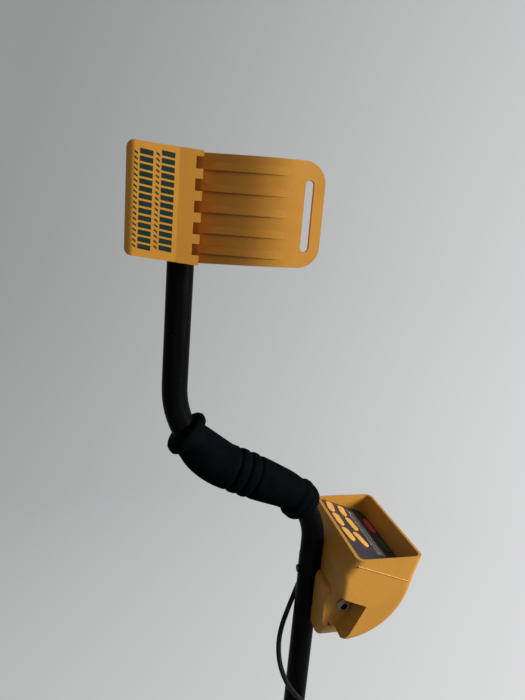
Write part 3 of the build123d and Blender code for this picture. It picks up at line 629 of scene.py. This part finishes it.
def seam_bead():
    """The raised line where the hood is joined to the case, as a thin bead round three sides."""
    near = [(SEAM_FROM_X, -BOX_HALF), (SEAM_BEND_X, -BOX_HALF), (BOX_FRONT, -BOX_HALF),
            (BOX_FRONT, -SEAM_BEND_Y)]
    far = [(x, -y) for x, y in reversed(near)]
    route = [(x, y, SEAM_TOP - math.tan(PANEL_TILT) * (x - SEAM_BACK)) for x, y in near + far]
    mesh = mesh_of_curve("bead", spline_curve("bead", route, SEAM_R))
    bead = bpy.data.objects.new("hood_seam_bead", mesh)
    SCENE.collection.objects.link(bead)
    shade_smooth(bead.data)
    dress(bead, MATERIALS["yellow_plastic"])
    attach(bead, "shaft")


seam_bead()


# ================= printed marks on the stand =================
MARK_COLUMNS = (-0.1806, -0.1660)      # x where each printed column starts
MARK_SUNK, MARK_PROUD = -0.0001, 0.00012
# across: from and to, past the column's start; rows: the column's lowest and highest z
BARS = {"across": (0.0040, 0.0128), "count": 14, "rows": (1.0815, 1.1500), "gap": 0.0015, "slant": -0.0012}
DASHES = {"across": (0.0004, 0.0026), "count": 18, "rows": (1.083, 1.149), "gap": 0.0024, "slant": -0.0016}


def stand_side(x, side, lift):
    """Y of the stand's flat side at x, lifted off it. Its half width grows from the foot to the crease."""
    half = FOOT_HALF + (x - FOOT_X) * (CREASE_HALF - FOOT_HALF) / (CREASE_X - FOOT_X)
    return side * (half + lift)


def mark_column(side, start, across, count, rows, gap, slant):
    """A column of slanted marks on the stand's side, each a thin solid."""
    x0, x1 = start + across[0], start + across[1]

    def build(shape):
        pitch = (rows[1] - rows[0]) / count
        for k in range(count):
            low = rows[0] + k * pitch + gap / 2
            high = rows[0] + (k + 1) * pitch - gap / 2
            corners = []
            for lift in (MARK_SUNK, MARK_PROUD):
                for x, z in ((x0, low), (x1, low + slant), (x1, high + slant), (x0, high)):
                    corners.append(shape.verts.new((x, stand_side(x, side, lift), z)))
            inner, outer = corners[:4], corners[4:]
            shape.faces.new(outer)
            shape.faces.new(inner[::-1])
            join_rings(shape, inner, outer)
    return build


for side, label in ((-1, "near"), (1, "far")):
    for number, start in enumerate(MARK_COLUMNS, 1):
        for kind, marks in (("bars", BARS), ("dashes", DASHES)):
            add_mesh(f"decal_{kind}_{label}_{number}", mark_column(side, start, **marks), "shaft",
                     DECAL_INK, smooth=False)


# ================= floor, backdrop and light =================
GLOW = 0.460                              # at the origin
GLOW_SLOPES = (0.114, -0.059, -0.030)     # its change per metre along x, y and z
GLOW_LOW, GLOW_HIGH = 0.18, 0.62
SKY_LOW, SKY_HIGH = 0.17, 0.34
WINDOW_PLACE, WINDOW_AIM = (1.88, -1.12, 1.80), (0, 0, 0.95)
WINDOW_SIZE, WINDOW_POWER, WINDOW_COLOR = 1.0, 88, (1.0, 0.985, 0.96)


def make_bowl(shape):
    """A round pale floor that curves up into a wall on every side."""
    around, floor_r, curve_r, wall_top, curve_steps = 96, 2.6, 0.9, 4.2, 12
    profile = [(0.6, 0.0), (1.4, 0.0), (floor_r - curve_r, 0.0)]
    for k in range(1, curve_steps + 1):
        a = math.pi / 2 * k / curve_steps
        profile.append((floor_r - curve_r + curve_r * math.sin(a), curve_r - curve_r * math.cos(a)))
    profile.append((floor_r, wall_top))
    rings = []
    for r, z in profile:
        turns = [2 * math.pi * k / around for k in range(around)]
        rings.append([shape.verts.new((r * math.cos(a), r * math.sin(a), z)) for a in turns])
    shape.faces.new(rings[0])
    for first, second in zip(rings, rings[1:]):
        join_rings(shape, first, second)


def make_stage():
    """The backdrop, which neither lights the object nor shows in its gloss."""
    bowl = build_object("backdrop", make_bowl, backdrop_paint(), inside_out=True)
    bowl.visible_diffuse = False
    bowl.visible_glossy = False


def backdrop_paint():
    """Pale paint that glows a little, more on the side the light comes from and less high up."""
    paint = Shader("backdrop_paint", (0.20, 0.203, 0.206), 0.95)
    glow = GLOW
    for letter, share in zip("XYZ", GLOW_SLOPES):
        glow = paint.work_out("ADD", glow, paint.times(paint.axis(letter), share))
    glow = paint.work_out("MINIMUM", paint.work_out("MAXIMUM", glow, GLOW_LOW), GLOW_HIGH)
    paint.shader.inputs["Emission Color"].default_value = (0.980, 0.995, 1.0, 1)
    paint.feed(paint.shader.inputs["Emission Strength"], glow)
    return paint.set(Specular_IOR_Level=0.1).grain(60, 0.1, 0.001).done()


def add_window():
    """A large soft round light at the front right."""
    light = bpy.data.lights.new("window", "AREA")
    light.shape = "DISK"
    light.size = WINDOW_SIZE
    light.energy = WINDOW_POWER
    light.color = WINDOW_COLOR
    window = bpy.data.objects.new("window", light)
    window.location = WINDOW_PLACE
    window.rotation_euler = (Vector(WINDOW_AIM) - Vector(WINDOW_PLACE)).to_track_quat("-Z", "Y").to_euler()
    SCENE.collection.objects.link(window)


def add_sky():
    """A dim sky that is brighter on the window's side."""
    world = bpy.data.worlds.new("world")
    world.use_nodes = True
    tree = world.node_tree
    background = tree.nodes["Background"]
    background.inputs["Color"].default_value = (0.95, 0.97, 1.0, 1)
    way = tree.nodes.new("ShaderNodeSeparateXYZ")
    tree.links.new(tree.nodes.new("ShaderNodeTexCoord").outputs["Generated"], way.inputs[0])
    level = tree.nodes.new("ShaderNodeMapRange")
    for name, number in (("From Min", -0.8), ("From Max", 1.0), ("To Min", SKY_LOW), ("To Max", SKY_HIGH)):
        level.inputs[name].default_value = number
    tree.links.new(way.outputs["X"], level.inputs["Value"])
    tree.links.new(level.outputs[0], background.inputs["Strength"])
    SCENE.world = world


make_stage()
add_sky()
add_window()
